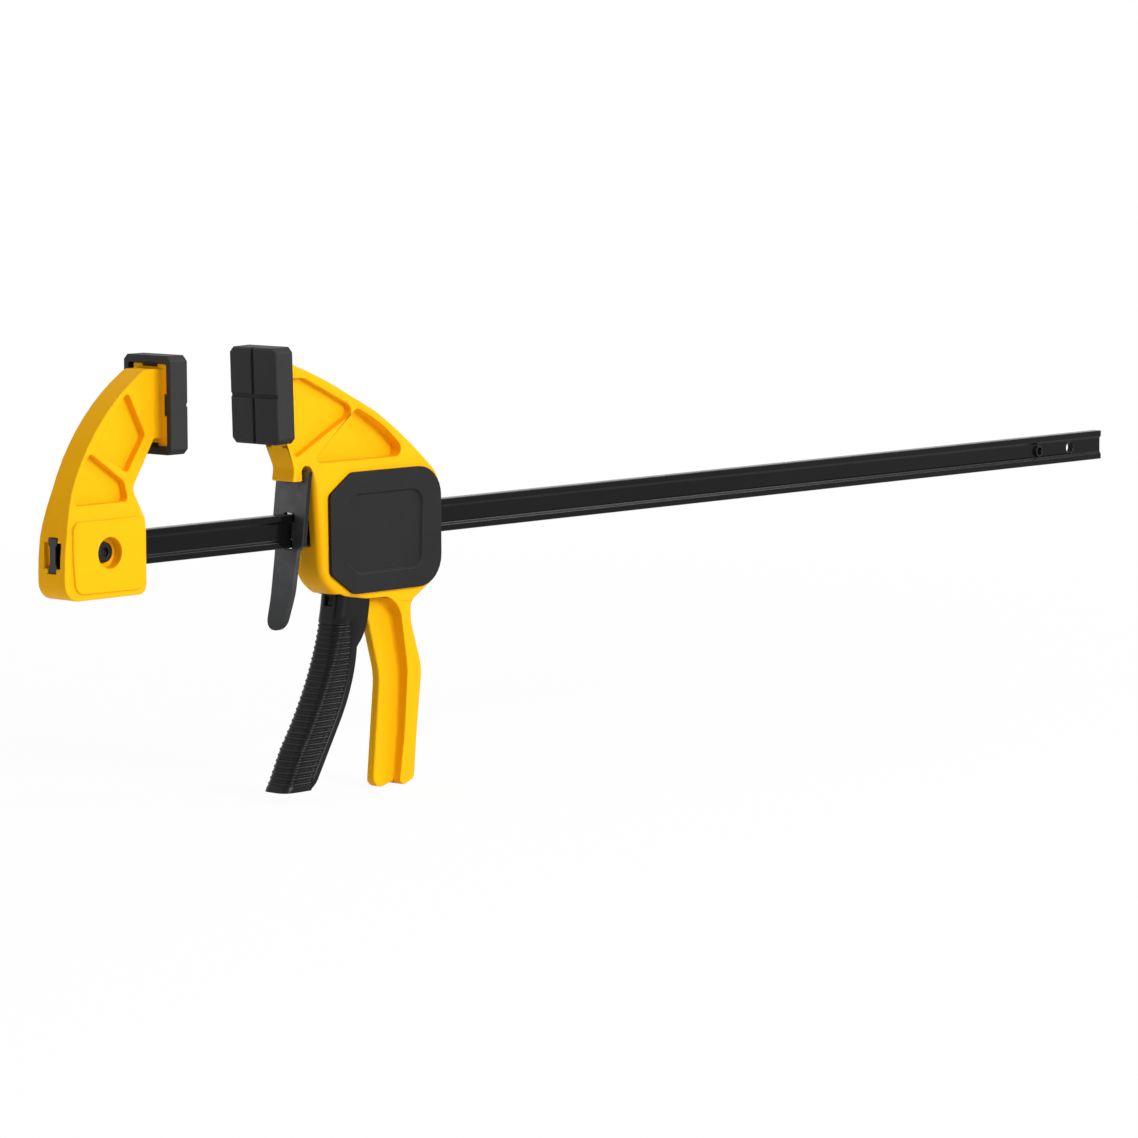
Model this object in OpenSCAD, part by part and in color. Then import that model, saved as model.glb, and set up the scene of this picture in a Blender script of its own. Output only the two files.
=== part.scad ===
// Quick release bar clamp: a fixed jaw on the end of an I-section bar, and a sliding head with
// a squeeze trigger, drive plates and a brake plate that the release lever frees.
// X runs along the bar, towards its tail. X = 0 is the face of the fixed pad.
// Z = 0 is the centreline of the bar, and Y = 0 is the middle plane.

/* [Bar] */
// Length of the bar
bar_len = 844; // [600:1:1100]
// Height of the bar section
bar_h = 17.2; // [15:0.1:19]
// Width of the bar's flanges
bar_w = 6.1; // [5.6:0.1:6.6]
// Thickness of the bar's web
bar_web = 4.1; // [3:0.1:4.6]
// Depth of a flange at its edge
flange_t = 3.1; // [2.4:0.1:3.6]
// Slope of a flange's inner face, over its depth at the web
flange_slope = 1.4; // [0.6:0.1:1.8]
// Radius of the two holes in the tail of the bar
tail_hole_r = 3.3; // [2.5:0.1:3.8]
// Distance from the bar's end to the open hole
tail_hole_inset = 30; // [15:1:45]
// Distance between the open hole and the stop pin
stop_pin_pitch = 31.6; // [16:0.2:45]
// Half length of the stop pin
stop_pin_y = 3.7; // [3.4:0.1:5]
// Wall of the rolled stop pin
stop_pin_wall = 0.9; // [0.5:0.1:1.4]

/* [Pads] */
// Width of a pad
pad_w = 34; // [30:0.5:40]
// Height of a pad
pad_h = 49.3; // [45:0.1:54]
// Thickness of a pad
pad_t = 12.2; // [11:0.1:14]
// Chamfer of a pad's corners
pad_corner = 2.6; // [1.5:0.1:4]
// Bevel round a pad's face
pad_bevel = 0.9; // [0.5:0.1:2]
// Width of the cross grooves in a pad
pad_groove_w = 1.8; // [1:0.1:3]
// Depth of the cross grooves in a pad
pad_groove_d = 1.2; // [0.6:0.1:2]
// Wall of a pad at its sides
pad_rim = 3.1; // [2.4:0.1:3.6]
// Height of the pad's centre over the centreline of the bar
reach = 70.5; // [66:0.5:80]
// Opening between the pads
opening = 60.4; // [20:0.2:400]
// Toe-in of the moving pad
toe_in = 1.7; // [0:0.1:3]

/* [Jaws] */
// Thickness of the carrier that a pad snaps over
carrier_t = 3.6; // [3:0.1:4.4]
// How far the carrier sits inside the pad's back edge
carrier_inset = 2.1; // [1.4:0.1:2.6]
// Half thickness of the fixed jaw's arm
jaw_arm_y = 7.3; // [6.8:0.1:8]
// Half thickness of the fixed jaw's block
jaw_block_y = 9.8; // [9:0.1:11]
// Half thickness of the web inside the arms
arm_web_y = 3; // [2:0.1:4]
// Height of the raised panels on the fixed jaw
panel_up = 1; // [0.6:0.1:1.4]
// Back of the fixed jaw, behind the fixed pad's face
jaw_back = 77; // [74:0.5:84]
// Front of the fixed jaw's block, behind the fixed pad's face
jaw_front = 23; // [20:0.5:26]
// Underside of the fixed jaw, below the bar's centreline
jaw_bottom = 22.4; // [19:0.2:28]
// Radius of the counterbore over the jaw screw
counterbore_r = 7.8; // [7:0.1:9]
// Depth of that counterbore from the panel's face
counterbore_d = 5.6; // [4.8:0.1:6]
// Radius of the jaw screw's head
screw_head_r = 5; // [4.2:0.1:5.6]
// Radius of the jaw screw's shank
screw_r = 2.5; // [2:0.1:3]
// Width of the nut across its flats
nut_af = 8; // [7:0.5:10]

/* [Head] */
// Half thickness of the moving arm at its pad
arm_y = 7.8; // [7.2:0.1:8.6]
// Half thickness of the housing
housing_y = 10.8; // [10.2:0.1:12]
// Rounding of the housing's front edges
housing_edge_r = 4; // [2:0.2:5]
// Underside of the housing, below the bar's centreline
housing_bottom = 38.2; // [37:0.1:41]
// Thickness of a side cover
cover_t = 2.2; // [1.8:0.1:3]
// Depth of the cover's sunk middle
cover_sunk = 1.1; // [0.4:0.1:1.4]
// Wall of the housing beside the trigger
skin_t = 1.4; // [1.2:0.1:1.8]
// Wall of the housing beside the mechanism
wall_t = 3; // [2.6:0.1:3.2]
// Half thickness of the handle's web
handle_web_y = 2.7; // [1.8:0.1:3]
// Half width of the handle's rear flange at its foot
handle_foot_y = 7.8; // [7:0.1:9.5]

/* [Trigger and levers] */
// Height of the trigger's pivot over the bar's centreline
pivot_z = 16.5; // [15.5:0.1:18]
// Radius of the trigger's pivot pin
pivot_r = 3; // [2.4:0.1:3.2]
// Corner radius of the trigger's grip
grip_corner_r = 5.7; // [4:0.1:6.4]
// Wall of the trigger's grip
grip_wall = 3; // [2.4:0.1:3.2]
// Distance from one grip rib to the next
rib_pitch = 2.75; // [2.5:0.05:4]
// Depth of the grooves between the grip's ribs
rib_depth = 0.6; // [0.3:0.05:0.8]
// Thickness of the release lever's plate
lever_t = 3; // [2.4:0.1:3.4]
// Half width of the release lever at the bar
lever_y = 11.8; // [10:0.1:12.5]
// Half width of the release lever's finger tab
lever_tab_y = 8.2; // [7:0.1:9]
// Lean of the release lever's plate
lever_lean = 7.2; // [4:0.1:8]
// Thickness of one drive plate
drive_plate_t = 2.5; // [2:0.1:2.8]
// Wire radius of the springs
wire_r = 0.55; // [0.4:0.05:0.7]
// Coil radius of the drive spring, to the middle of its wire
drive_coil_r = 4.2; // [3.4:0.1:4.8]
// Coil radius of the release spring, to the middle of its wire
release_coil_r = 3.4; // [2.8:0.1:4]

/* [Clearances] */
// Gap between the bar and what slides on it
slide_gap = 0.3; // [0.2:0.05:0.5]
// Gap round the pivot pin in the trigger
pin_gap = 0.06; // [0.03:0.01:0.1]
// Gap between other neighbouring pieces
seat_gap = 0.2; // [0.1:0.05:0.3]

/* [Hidden] */
$fn = 48;
sag = 0.08;                  // how far a chord may lie inside its arc
big = 400;                   // longer than anything that it cuts

bar_x0 = -jaw_back + 0.8;    // the bar's end sits just inside the fixed jaw's back
bar_x1 = bar_x0 + bar_len;
tail_hole_x = bar_x1 - tail_hole_inset;
stop_pin_x = tail_hole_x - stop_pin_pitch;

cavity_y = pad_w / 2 - pad_rim;              // half width of a pad's hollow
cavity_z = pad_h / 2 - pad_rim - 0.8;        // half height of a pad's hollow
carrier_back = pad_t - carrier_inset;        // behind the pad's face
carrier_front = carrier_back - carrier_t;
carrier_y = cavity_y - 1.9;
carrier_z = cavity_z - seat_gap;
nub_w = 10.5;                                // width of the nubs inside a pad's rim
nub_up = 1.6;                                // how far a nub reaches into the carrier's notch
neck_z = cavity_z - nub_up - seat_gap;       // the moving arm's neck ends just short of the nub

panel_y = jaw_block_y + panel_up;
screw_x = -(jaw_front + jaw_back) / 2 + 2.1;
screw_seat_y = panel_y - counterbore_d - 1;  // under the screw's head
screw_head_t = 2.8;
nut_t = 4;
nut_y = screw_seat_y;                        // inner face of the nut, on the other side

head_front = 36.6;           // front of the housing, behind the moving pad's face
head_rear = 123.2;           // rear of the housing
pivot_x = 79.6;              // the trigger's pivot
inner_y = housing_y - wall_t;                // half width of the hollow for the mechanism
well_y = housing_y - skin_t;                 // half width of the hollow for the grip's top
fork_y = inner_y - seat_gap;
grip_y = well_y - seat_gap;
grip_inner_y = grip_y - grip_wall;
slot_r = 3.3;                                // the slot that holds the release lever's top
slot_x = 29.5;
slot_z = bar_h / 2 + 21.4;
lever_x = slot_x - slot_r + 0.85;            // front of the lever at the height of its pivot
lever_pivot = [lever_x + lever_t / 2, slot_z + 0.6];
nose_r = 3;                                  // the trigger's nose, which pushes the drive plates
nose_x = 83.8;
nose_z = -bar_h / 2 - 9.4;
plate_x = nose_x + nose_r + seat_gap;
plates_end = plate_x + 3 * drive_plate_t;
rear_wall_x = 115.2;                         // front of the housing's rear wall
grip_top = -35;
grip_bottom = -134;
rib_top = -49;
rib_count = floor((rib_top - grip_bottom - 5) / rib_pitch);
rib_end = 4.4;                               // smooth strip behind the ribs
grip_kink = -62.5;                           // where the grip's rear edge steps in
grip_shoulder = 10.4;                        // and by how much
rib_crest = 0.1;                             // how far the ribs lie under that strip

// ---- outlines -------------------------------------------------------------------------------

function unit(v) = v / norm(v);
function segments(r, turn) = max(1, ceil(turn / (2 * acos(1 - min(0.5, sag / r)))));

// The points of one corner p of radius r between its neighbours a and b
function corner(a, p, b, r) =
    let (u = unit(a - p), v = unit(b - p), half = acos(max(-1, min(1, u * v))) / 2)
    r <= 0 || half > 89.5 ? [p] :
    let (
        reach_back = min(r / tan(half), norm(a - p) * 0.98, norm(b - p) * 0.98),
        rr = reach_back * tan(half),
        centre = p + unit(u + v) * rr / sin(half),
        start = p + u * reach_back - centre,
        turn = 180 - 2 * half,
        side = u[0] * v[1] - u[1] * v[0] > 0 ? -1 : 1,
        n = segments(rr, turn)
    )
    [for (i = [0:n])
        let (t = side * turn * i / n)
        centre + [start[0] * cos(t) - start[1] * sin(t), start[0] * sin(t) + start[1] * cos(t)]];

// A closed outline from corners [x, z, radius]
function outline(c) =
    [for (i = [0:len(c) - 1])
        let (n = len(c), a = c[(i + n - 1) % n], p = c[i], b = c[(i + 1) % n])
        each corner([a[0], a[1]], [p[0], p[1]], [b[0], b[1]], p[2])];

function rectangle(x0, z0, x1, z1, r) = outline([[x0, z0, r], [x1, z0, r], [x1, z1, r], [x0, z1, r]]);

// A solid with an outline in X and Z, from y0 to y1
module slab(points, y0, y1) {
    translate([0, y1, 0]) rotate([90, 0, 0]) linear_extrude(y1 - y0) polygon(points);
}

// A solid with an outline in Y and Z, from x0 to x1
module block(points, x0, x1) {
    translate([x0, 0, 0]) rotate([90, 0, 90]) linear_extrude(x1 - x0) polygon(points);
}

module on_both_sides() {
    children();
    mirror([0, 1, 0]) children();
}

// What lies within half_y of the middle plane at the point [x, z], and less by slope for each
// millimetre along the direction of angle dir in the XZ plane
module side_limits(at, half_y, slope, dir) {
    intersection_for (s = [1, -1])
        translate([at[0], s * half_y, at[1]])
        rotate([0, -dir, 0])
        rotate([0, 0, -s * atan(slope)])
        translate([-big, s > 0 ? -big : 0, -big]) cube([2 * big, big, 2 * big]);
}

// A round spring along X
module coil(x0, x1, z, r, turns) {
    steps = 12;
    sides = 6;
    n = turns * steps;
    pts = [for (i = [0:n], j = [0:sides - 1])
        let (t = 360 * i / steps, w = 360 * j / sides, q = r + wire_r * cos(w))
        [x0 + wire_r + (x1 - x0 - 2 * wire_r) * i / n + wire_r * sin(w), q * cos(t), z + q * sin(t)]];
    walls = [for (i = [0:n - 1], j = [0:sides - 1])
        let (a = i * sides + j, b = i * sides + (j + 1) % sides)
        each [[a, b, b + sides], [a, b + sides, a + sides]]];
    polyhedron(pts, concat(walls,
        [[for (j = [sides - 1:-1:0]) j]],
        [[for (j = [0:sides - 1]) n * sides + j]]));
}

// ---- bar ------------------------------------------------------------------------------------

function bar_quarter(g) = [
    [bar_w / 2 + g, bar_h / 2 + g],
    [bar_w / 2 + g, bar_h / 2 - flange_t - g],
    [bar_web / 2 + g, bar_h / 2 - flange_t - flange_slope - g]];

// The I section, grown by g
function bar_section(g = 0) = let (q = bar_quarter(g)) concat(
    q,
    [for (i = [2:-1:0]) [q[i][0], -q[i][1]]],
    [for (i = [0:2]) [-q[i][0], -q[i][1]]],
    [for (i = [2:-1:0]) [-q[i][0], q[i][1]]]);

module y_hole(x, z, r, y0 = -big, y1 = big) {
    translate([x, y1, z]) rotate([90, 0, 0]) cylinder(r = r, h = y1 - y0);
}

module bar() {
    color("#1b1b1c") difference() {
        block(bar_section(), bar_x0, bar_x1);
        y_hole(tail_hole_x, 0, tail_hole_r);
        y_hole(stop_pin_x, 0, tail_hole_r);
        y_hole(screw_x, 0, screw_r + 0.1);
    }
}

module stop_pin() {
    color("silver") difference() {
        y_hole(stop_pin_x, 0, tail_hole_r, -stop_pin_y, stop_pin_y);
        y_hole(stop_pin_x, 0, tail_hole_r - stop_pin_wall);
        translate([stop_pin_x, -big / 2, -0.5]) cube([tail_hole_r + 1, big, 1]);
    }
}

// ---- pads -----------------------------------------------------------------------------------

function octagon(y, z, c) =
    [[-y + c, -z], [y - c, -z], [y, -z + c], [y, z - c], [y - c, z], [-y + c, z], [-y, z - c], [-y, -z + c]];

// A pad with its face at X = 0, facing +X, and its back at -pad_t
module pad() {
    y = pad_w / 2;
    z = pad_h / 2;
    color("#3a3a3c") difference() {
        hull() {
            block(octagon(y, z, pad_corner), -pad_t, -pad_bevel);
            block(octagon(y - pad_bevel, z - pad_bevel, pad_corner), -pad_bevel - 0.01, 0);
        }
        difference() {
            block(rectangle(-cavity_y, -cavity_z, cavity_y, cavity_z, 1.5), -pad_t - 1,
                -carrier_front + seat_gap);
            for (s = [1, -1]) {
                translate([-carrier_back, -nub_w / 2, s > 0 ? cavity_z - nub_up : -cavity_z - 1])
                    cube([carrier_t, nub_w, nub_up + 1]);
                translate([-carrier_back, s > 0 ? carrier_y - nub_up : -cavity_y - 1, -nub_w / 2])
                    cube([carrier_t, cavity_y - carrier_y + nub_up + 1, nub_w]);
            }
        }
        translate([-pad_groove_d, -pad_groove_w / 2, -big]) cube([big, pad_groove_w, 2 * big]);
        translate([-pad_groove_d, -big, -pad_groove_w / 2]) cube([big, 2 * big, pad_groove_w]);
    }
}

// The carrier that a pad snaps over, in the pad's own frame, with a neck back to an arm that is
// neck_y thick on each side of the middle
module carrier(neck_y, neck_x, neck_low, neck_high) {
    notch = nub_w / 2 + seat_gap;
    difference() {
        block(rectangle(-carrier_y, -carrier_z, carrier_y, carrier_z, 0.6), -carrier_back, -carrier_front);
        for (s = [1, -1]) {
            translate([-big, -notch, s > 0 ? cavity_z - nub_up - seat_gap : -cavity_z - 1])
                cube([2 * big, 2 * notch, nub_up + seat_gap + 1]);
            translate([-big, s > 0 ? carrier_y - nub_up - seat_gap : -carrier_y - 1, -notch])
                cube([2 * big, nub_up + seat_gap + 1, 2 * notch]);
        }
    }
    flare = 3.6;
    translate([0, 0, neck_low]) linear_extrude(neck_high - neck_low) polygon(outline([
        [-neck_x, -neck_y, 0], [-carrier_back - flare, -neck_y, 0],
        [-carrier_back - 0.8, -neck_y - 0.6, 2], [-carrier_back, -neck_y - 2.6, 0],
        [-carrier_back + 0.5, -neck_y - 2.6, 0],
        [-carrier_back + 0.5, neck_y + 2.6, 0], [-carrier_back, neck_y + 2.6, 0],
        [-carrier_back - 0.8, neck_y + 0.6, 2], [-carrier_back - flare, neck_y, 0],
        [-neck_x, neck_y, 0]]));
}

module at_moving_pad() {
    translate([opening, 0, reach]) rotate([0, -toe_in, 0]) mirror([1, 0, 0]) children();
}

module fixed_jaw_pad() {
    translate([0, 0, reach]) pad();
}

module moving_jaw_pad() {
    at_moving_pad() pad();
}

// ---- fixed jaw ------------------------------------------------------------------------------

jaw_top = reach + 18;                        // top of the arm at its pad
elbow = [-jaw_front - 6.6, jaw_top - 58.5];              // inner corner between the block and the arm
back_r = 113;                                // the long sweep of the jaw's back

jaw_outline = outline([
    [-carrier_back - 0.5, jaw_top, 0],
    [-20.5, jaw_top, 4],
    [-jaw_back, jaw_top - 34.3, back_r],
    [-jaw_back, -jaw_bottom, 9],
    [-jaw_front, -jaw_bottom, 5],
    [-jaw_front, 15, 5],
    [elbow[0], elbow[1], 5],
    [-carrier_back - 4.6, jaw_top - 34.6, 2],
    [-carrier_back - 0.5, jaw_top - 32.6, 0]]);

upper_pocket = outline([
    [-31.6, jaw_top - 10.2, 2], [-20.4, jaw_top - 32.2, 2.5], [-32.9, jaw_top - 50.3, 2],
    [-54.4, jaw_top - 37.9, 3], [-46, jaw_top - 26, 40]]);

lower_pocket = outline([
    [-57, jaw_top - 38.9, 2.5], [-34.6, jaw_top - 54.5, 4], [-33, 24.2, 2.5], [-jaw_back + 8, 24.2, 2.5],
    [-65.5, jaw_top - 51, 40]]);

panel = outline([
    [-jaw_front - 2, 16.6, 4], [-jaw_back + 5.4, 16.6, 5], [-jaw_back + 5.1, 0, 60],
    [-jaw_back + 6.6, -jaw_bottom + 3.2, 6],
    [-jaw_front - 2, -jaw_bottom + 2.8, 5]]);

module hex(af, h) {
    cylinder(r = af / 2 / cos(30), h = h, $fn = 6);
}

module fixed_jaw() {
    color("#f7c70b") difference() {
        union() {
            intersection() {
                slab(jaw_outline, -jaw_block_y, jaw_block_y);
                union() {
                    side_limits([0, 10], jaw_block_y, 0.115, 90);
                    slab(jaw_outline, -jaw_arm_y, jaw_arm_y);
                }
            }
            slab(panel, -panel_y, panel_y);
            translate([0, 0, reach]) carrier(jaw_arm_y, carrier_back + 6, -16.4, jaw_top - reach);
        }
        on_both_sides() {
            slab(upper_pocket, arm_web_y, big);
            slab(lower_pocket, arm_web_y, big);
        }
        // the passage for the bar, and the wide recess round the bar's end
        translate([-big, -bar_w / 2 - slide_gap, -bar_h / 2 - slide_gap])
            cube([2 * big, bar_w + 2 * slide_gap, bar_h + 2 * slide_gap]);
        translate([-jaw_back - 5, -6.2, -6.4]) cube([8.4, 12.4, 12.8]);
        // the screw's seat, its shank, and the nut's pocket on the other side
        y_hole(screw_x, 0, counterbore_r, -big, -panel_y + counterbore_d);
        y_hole(screw_x, 0, screw_head_r + 0.3, -big, -screw_seat_y);
        y_hole(screw_x, 0, screw_r + 0.1);
        translate([screw_x, nut_y, 0]) rotate([-90, 0, 0]) hex(nut_af + 2 * seat_gap, big);
    }
}

module fixed_jaw_screw() {
    color("#1b1b1c") difference() {
        union() {
            y_hole(screw_x, 0, screw_head_r, -screw_seat_y - screw_head_t, -screw_seat_y);
            y_hole(screw_x, 0, screw_r, -screw_seat_y, nut_y + nut_t);
        }
        translate([screw_x, -screw_seat_y - screw_head_t, 0]) rotate([-90, 0, 0])
            hex(screw_head_r * 0.9, screw_head_t * 0.6);
    }
}

module fixed_jaw_nut() {
    color("silver") difference() {
        translate([screw_x, nut_y, 0]) rotate([-90, 0, 0]) hex(nut_af, nut_t);
        y_hole(screw_x, 0, screw_r);
    }
}

// ---- sliding head ---------------------------------------------------------------------------
// These outlines stand in the head's own frame, with X = 0 at the moving pad's face.

arm_top = reach + 16.8;
arm_foot = reach - 24.5;
well_x = 88;               // rear of the well that the grip's top swings in

chin = [[head_front + 0.8, -25.5], [49.1, -36.2], [61.6, -housing_bottom]];

head_outline = outline([
    [15.4, arm_top, 0],
    [73.5, arm_top - 20, 273],
    [head_rear, 22.6, 14],
    [head_rear + 0.5, -29, 12],
    [101.8, -housing_bottom - 4, 6],
    [94, -housing_bottom - 3, 0],
    [92, -housing_bottom, 0],
    [chin[2][0], chin[2][1], 20],
    [chin[1][0], chin[1][1], 14],
    [chin[0][0], chin[0][1], 8],
    [slot_x + slot_r, slot_z, 0],
    [slot_x - slot_r, slot_z, 0],
    [slot_x - slot_r, slot_z - 4.4, 1.2],
    [19.8, slot_z - 4.4, 1],
    [21, 32, 6],
    [15.4, arm_foot, 0]]);

arm_pocket = outline([
    [16, arm_top - 8.4, 2], [29, arm_top - 9, 3], [66.2, arm_top - 26.9, 4], [23, 38, 2], [16, 44, 2]]);

side_pocket = outline([
    [65.4, 61.2, 3], [84.5, 49.8, 60], [101.6, 34.3, 4], [32.8, 34.3, 2]]);

root_r = 16.6;                               // arc where the flange runs into the housing
root_z = -housing_bottom - root_r * sin(74);

flange = outline([
    [84, -30, 0],
    each [for (a = [81:-12:21]) [79.3 + root_r * cos(a), root_z + root_r * sin(a), 0]],
    [100.3, -77.5, 30], [98.6, -113, 100], [95.6, -136.4, 1.5], [98.4, -139.2, 2], [106.2, -136, 3],
    [107.6, -113, 100], [110.7, -77.5, 24], [102.2, -53, 22], [101.8, -housing_bottom - 4, 6],
    [112, -34, 0], [112, -30, 0]]);

handle_web = outline([
    [80.4, -29, 0], [76.6, -33.4, 0], [75, -housing_bottom, 0], [86.4, -80.5, 32], [80.6, -141, 5.5],
    [99, -136.2, 0], [101, -113, 0], [104, -77, 0], [98, -45, 0], [95, -29, 0]]);

mechanism_hollow = outline([
    [pivot_x - 9.5, 25.5, 2], [rear_wall_x, 25.5, 2], [rear_wall_x, -28, 2], [well_x, -28, 1],
    [well_x, -housing_bottom - 9, 0], [54, -housing_bottom - 9, 0], [50.2, -34, 0], [pivot_x - 9.5, 15, 4]]);

grip_well = [
    [well_x, grip_top + 0.6], [well_x, -housing_bottom - 9], [48, -housing_bottom - 9], [48, grip_top + 0.6]];

side_window = rectangle(plate_x - 4, -27, rear_wall_x - 1, 12.4, 3);

cover_outline = outline([
    [41.6, 17.6, 4], [57.6, 28.4, 5], [122.8, 28.2, 16], [122.8, -34.7, 16], [58.6, -34.8, 5], [42, -23.4, 4]]);

cover_middle = outline([
    [53.9, 10.8, 3], [60.8, 16.4, 3], [108.8, 16.4, 7], [107.2, -24, 5], [61.4, -24, 3], [53.9, -17.8, 3]]);

peg_r = 2;
peg_points = [[49.5, 12], [49.5, -19]];

module pocket_walls() {
    on_both_sides() {
        slab(arm_pocket, arm_web_y + 0.75, big);
        slab(side_pocket, arm_web_y + 0.75, big);
    }
}

// Rounds the housing's two front edges along a line from the point a up to the point b
module edge_cutter(a, b, over_a, over_b) {
    rise = b - a;
    step = 0.02;                             // keeps the cut a hair off the face that it blends into
    translate([a[0] - step, -housing_y - step, a[1]]) rotate([0, atan2(rise[0], rise[1]), 0])
    translate([0, 0, -over_a]) linear_extrude(norm(rise) + over_a + over_b)
    difference() {
        translate([-housing_edge_r - 3, -3]) square([2 * housing_edge_r + 3, housing_edge_r + 3]);
        translate([housing_edge_r, housing_edge_r]) circle(r = housing_edge_r);
        translate([housing_edge_r, -5]) square([housing_edge_r, 2 * housing_edge_r + 5]);
    }
}

module front_edge_cutters() {
    on_both_sides() {
        edge_cutter(chin[0], [slot_x + slot_r, slot_z], 3, -1.6);
        edge_cutter(chin[1], chin[0], 3, 3);
        edge_cutter(chin[2], chin[1], 0, 3);
    }
}

module housing() {
    color("#f7c70b") translate([opening, 0, 0]) difference() {
        union() {
            difference() {
                intersection() {
                    slab(head_outline, -housing_y, housing_y);
                    side_limits([head_front, 18], housing_y, 0.18, 135);
                }
                front_edge_cutters();
            }
            slab(head_outline, -arm_y, arm_y);
            intersection() {
                slab(flange, -housing_y, housing_y);
                side_limits([100, -housing_bottom], housing_y, (housing_y - handle_foot_y) / 99, -90);
            }
            translate([-opening, 0, 0]) at_moving_pad() carrier(arm_y, carrier_back + 8, -neck_z, 17);
        }
        pocket_walls();
        difference() {
            union() {
                slab(mechanism_hollow, -inner_y, inner_y);
                slab(grip_well, -well_y, well_y);
            }
            slab(handle_web, -handle_web_y, handle_web_y);
        }
        // the slot across the arm for the top of the release lever
        y_hole(slot_x, slot_z, slot_r);
        // the bar's passage: plain at the front, ribbed at the rear, where the stop pin meets it
        translate([0, -bar_w / 2 - slide_gap, -bar_h / 2 - slide_gap])
            cube([rear_wall_x, bar_w + 2 * slide_gap, bar_h + 2 * slide_gap]);
        block(bar_section(slide_gap), rear_wall_x - 1, head_rear + 5);
        translate([30, 0, bar_h / 2 + 7.4]) rotate([0, 90, 0])
            cylinder(r = release_coil_r + wire_r + 0.4, h = head_front + 6 - 30);
        translate([rear_wall_x - 1, 0, nose_z]) rotate([0, 90, 0])
            cylinder(r = drive_coil_r + wire_r + 0.4, h = 3);
        y_hole(pivot_x, pivot_z, pivot_r);
        slab(side_window, -big, -inner_y + 1);
        slab(side_window, inner_y - 1, big);
        on_both_sides() for (p = peg_points) y_hole(p[0], p[1], peg_r + 0.1, housing_y - 2.2, big);
    }
    color("#f7c70b") translate([opening, 0, 0]) difference() {
        slab(handle_web, -handle_web_y, handle_web_y);
        slab(flange, -handle_web_y - 1, handle_web_y + 1);
    }
}

// One side cover: a plate with a sunk middle, a frame that plugs into the window, and two pegs
module side_cover() {
    rim = 1.6;
    plug = 2.2;
    color("#39393b") translate([opening, 0, 0]) {
        difference() {
            slab(cover_outline, housing_y, housing_y + cover_t);
            slab(cover_middle, housing_y + cover_t - cover_sunk, big);
        }
        difference() {
            slab(rectangle(plate_x - 4 + seat_gap, -27 + seat_gap, rear_wall_x - 1 - seat_gap,
                12.4 - seat_gap, 3), housing_y - plug, housing_y);
            slab(rectangle(plate_x - 4 + rim, -27 + rim, rear_wall_x - 1 - rim, 12.4 - rim, 2), -big, big);
        }
        for (p = peg_points) y_hole(p[0], p[1], peg_r, housing_y - 2, housing_y);
    }
}

module cover_right() {
    mirror([0, 1, 0]) side_cover();
}

module cover_left() {
    side_cover();
}

// ---- trigger --------------------------------------------------------------------------------

// Front and rear edges of the grip at the height z
function grip_front(z) =
    let (down = grip_top - z, e = min(down, 78)) 52.7 - 0.12 * e - 0.0036 * e * e - 0.5 * (down - e);
function grip_rear(z) =
    let (down = max(0, grip_kink - z), e = min(down, 38))
    63.6 - 0.1 * e - 0.0062 * e * e - 0.58 * (down - e)
    + grip_shoulder * (1 - exp(-max(0, z - grip_kink) / 9.5));

// The channel in the back of the grip
grip_channel = concat(
    [for (i = [0:12]) let (z = grip_top + 1 - i * (grip_top + 1 - grip_bottom - grip_wall) / 12)
        [grip_front(z) + grip_wall, z]],
    [[grip_rear(grip_top) + 9, grip_bottom + grip_wall], [grip_rear(grip_top) + 9, grip_top + 1]]);

// One level of the grip, with rounded front corners, sunk by d between the ribs
function grip_level(z, d) =
    let (xf = grip_front(z), xr = grip_rear(z), w = grip_y, r = grip_corner_r, n = 4,
        xe = min(xr, grip_rear(grip_kink)) - rib_end)
    concat(
        [[xr, -w, z], [xe, -w, z], [xe - 0.3, -w + d, z]],
        [for (i = [0:n]) let (a = 90 * i / n)
            [xf + r - (r - d) * sin(a), -w + r - (r - d) * cos(a), z]],
        [for (i = [n:-1:0]) let (a = 90 * i / n)
            [xf + r - (r - d) * sin(a), w - r + (r - d) * cos(a), z]],
        [[xe - 0.3, w - d, z], [xe, w, z], [xr, w, z]]);

module grip() {
    ribs = [for (i = [0:rib_count - 1], k = [0, 1])
        [rib_top - rib_pitch * (i + 0.5 * k), k == 0 ? rib_crest : rib_depth]];
    levels = concat([[grip_top, rib_crest], [-43, rib_crest]], ribs,
        [[rib_top - rib_pitch * rib_count, rib_crest], [grip_bottom, rib_crest]]);
    rings = [for (l = levels) grip_level(l[0], l[1])];
    m = len(rings[0]);
    n = len(rings);
    pts = [for (r = rings) each r];
    walls = [for (i = [0:n - 2], j = [0:m - 1])
        let (a = i * m + j, b = i * m + (j + 1) % m)
        each [[a, b + m, b], [a, a + m, b + m]]];
    polyhedron(pts, concat(walls,
        [[for (j = [0:m - 1]) j]],
        [[for (j = [m - 1:-1:0]) (n - 1) * m + j]]));
}

fork = outline([
    [pivot_x - 7, pivot_z + 6.4, 6], [pivot_x + 7, pivot_z + 6.4, 6], [pivot_x + 6.4, 4, 8],
    [72.5, -14, 6], [63, grip_top - 0.5, 0], [53.6, grip_top - 0.5, 0], [pivot_x - 7.2, 6, 12]]);

bridge = outline([
    [58, -21, 2], [70, nose_z + nose_r, 2], [nose_x, nose_z + nose_r, 0], [nose_x, nose_z - nose_r, 0],
    [72, -24, 4], [61, -27, 3], [58.6, grip_top - 0.5, 0], [53.6, grip_top - 0.5, 0], [55, -28, 3]]);

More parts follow.
